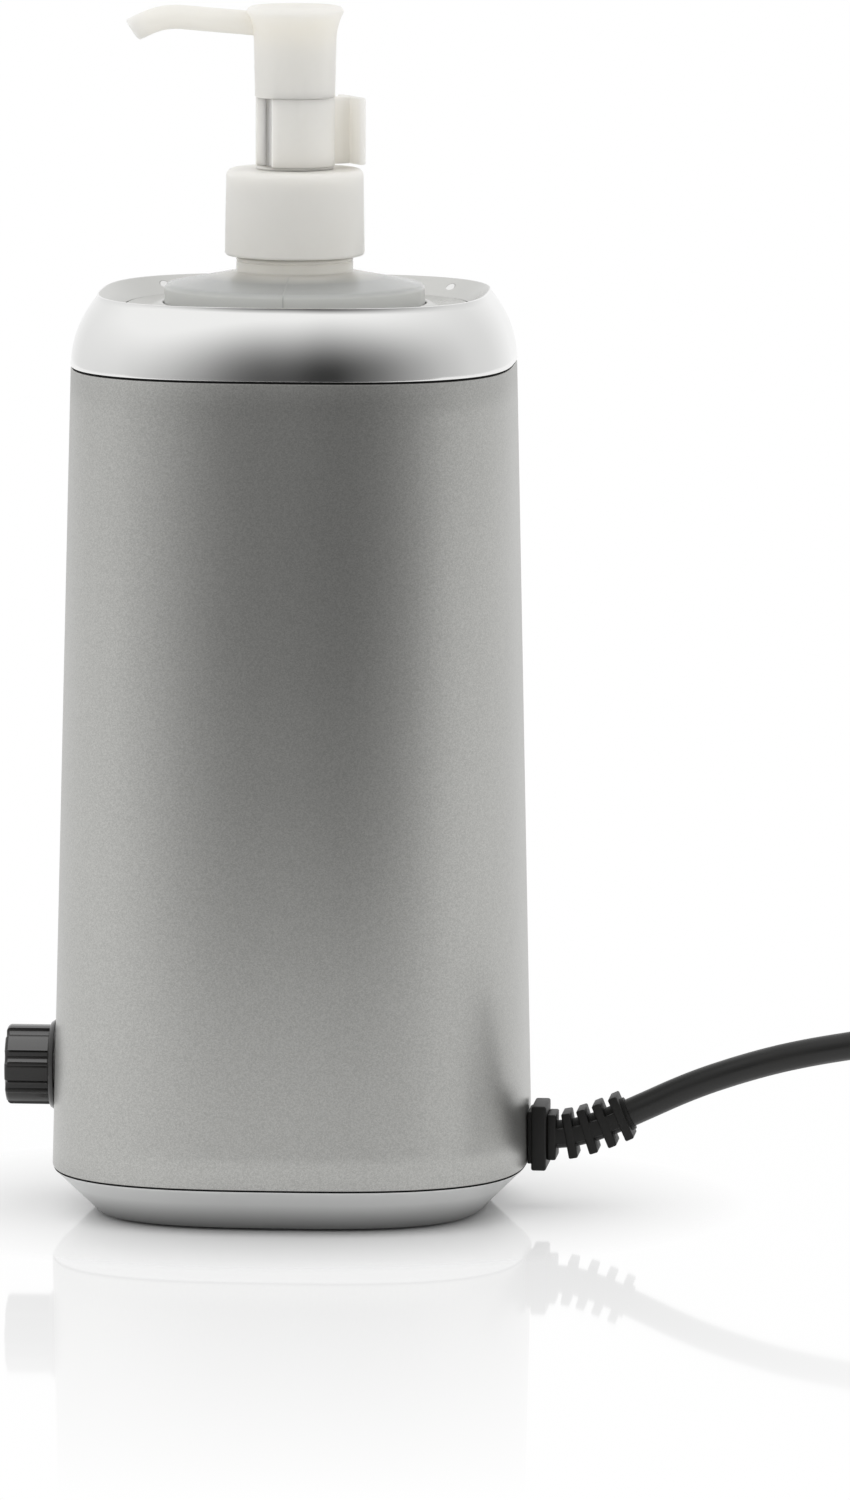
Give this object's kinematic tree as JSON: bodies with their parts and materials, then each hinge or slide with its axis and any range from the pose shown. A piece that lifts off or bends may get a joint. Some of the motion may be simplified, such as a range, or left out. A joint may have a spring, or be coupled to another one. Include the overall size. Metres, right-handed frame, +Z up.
{
  "type": "massage oil warmer",
  "caption": "Tapered rounded-square warmer with a heated well, a temperature knob and a mains cord, holding a translucent oil bottle with a lotion pump and a lock clip.",
  "frame": {"origin": "on the table under the axis of the well, the bottle and the pump", "axes": "+Z up along the pump's axis; +X towards the mains cord's entry, -X towards the knob and the spout; the picture looks along +Y"},
  "size_m": [0.366, 0.114, 0.2888],
  "materials": {
    "casing_paint": "satin silver metallic paint on moulded plastic",
    "casing_pale": "satin pale silver grey",
    "collar_gloss": "glossy silver",
    "dish_satin": "satin silver",
    "black_rubber": "matte",
    "steel": "bright",
    "cup_aluminium": "satin spun",
    "black_plastic": "satin black",
    "insulation": "felt",
    "heater": "plain",
    "thermostat": "matte",
    "board": "lacquered",
    "control_case": "satin",
    "terminal": "matte",
    "wire": "satin",
    "cord_jacket": "satin black",
    "tie": "satin",
    "pins": "bright plated",
    "bottle_plastic": "translucent",
    "pump_plastic": "satin natural white",
    "tube_plastic": "satin"
  },
  "bodies": {
    "warmer": {"base_pan": "casing_pale", "foot_ring": "black_rubber", "base_screws": "steel", "shell": "casing_paint", "collar": "collar_gloss", "dish_plate": "dish_satin", "screw_caps": "collar_gloss", "well_cup": "cup_aluminium", "well_pad": "black_rubber", "well_stand": "black_plastic", "insulation_sleeve": "insulation", "heater_disc": "heater", "thermostat": "thermostat", "control_board": "board", "rotary_control": "control_case", "control_nut": "steel", "terminal_block": "terminal", "lead_wires": "wire", "strain_relief": "black_rubber", "cord": "cord_jacket", "cord_coil": "cord_jacket", "coil_tie": "tie", "plug": "black_plastic", "plug_pins": "pins"},
    "knob_unit": {"knob": "black_plastic", "control_shaft": "control_case"},
    "bottle_unit": {"bottle": "bottle_plastic"},
    "pump_unit": {"neck_gasket": "pump_plastic", "pump_housing": "pump_plastic", "dip_tube": "tube_plastic", "guide_sleeve": "pump_plastic"},
    "closure_unit": {"closure": "pump_plastic"},
    "plunger_unit": {"piston": "pump_plastic", "return_spring": "steel"},
    "head_unit": {"pump_head": "pump_plastic", "pump_stem": "pump_plastic"},
    "clip_unit": {"lock_clip": "pump_plastic"},
    "ball_unit": {"check_ball": "steel"}
  },
  "joints": [
    {"name": "bottle_lift", "type": "slide", "parent": "warmer", "child": "bottle_unit", "axis": [0, 0, 1], "range_m": [0, 0.18]},
    {"name": "pump_lift", "type": "slide", "parent": "bottle_unit", "child": "pump_unit", "axis": [0, 0, 1], "range_m": [0, 0.0063]},
    {"name": "closure_turn", "type": "hinge", "parent": "pump_unit", "child": "closure_unit", "pos_m": [0, 0, 0.24], "axis": [0, 0, 1], "range_deg": [0, 540]},
    {"name": "pump_press", "type": "slide", "parent": "pump_unit", "child": "plunger_unit", "axis": [0, 0, -1], "range_m": [0, 0.0158], "stiffness_N_per_m": 600, "springref_m": -0.005, "deforming": ["return_spring"]},
    {"name": "head_swivel", "type": "hinge", "parent": "plunger_unit", "child": "head_unit", "pos_m": [0, 0, 0.27], "axis": [0, 0, 1], "continuous": true},
    {"name": "clip_pull", "type": "slide", "parent": "pump_unit", "child": "clip_unit", "axis": [0.866, 0.5, 0], "range_m": [0, 0.033], "deforming": ["lock_clip"]},
    {"name": "ball_lift", "type": "slide", "parent": "pump_unit", "child": "ball_unit", "axis": [0, 0, 1], "range_m": [0, 0.0025]},
    {"name": "knob_turn", "type": "hinge", "parent": "warmer", "child": "knob_unit", "pos_m": [-0.06, 0, 0.0326], "axis": [-1, 0, 0], "range_deg": [0, 270]}
  ],
  "couplings": [
    {"joint": "closure_turn", "follows": "pump_lift", "rad_per_m": 1485},
    {"joint": "clip_pull", "follows": "pump_press", "ratio": 2.05}
  ]
}
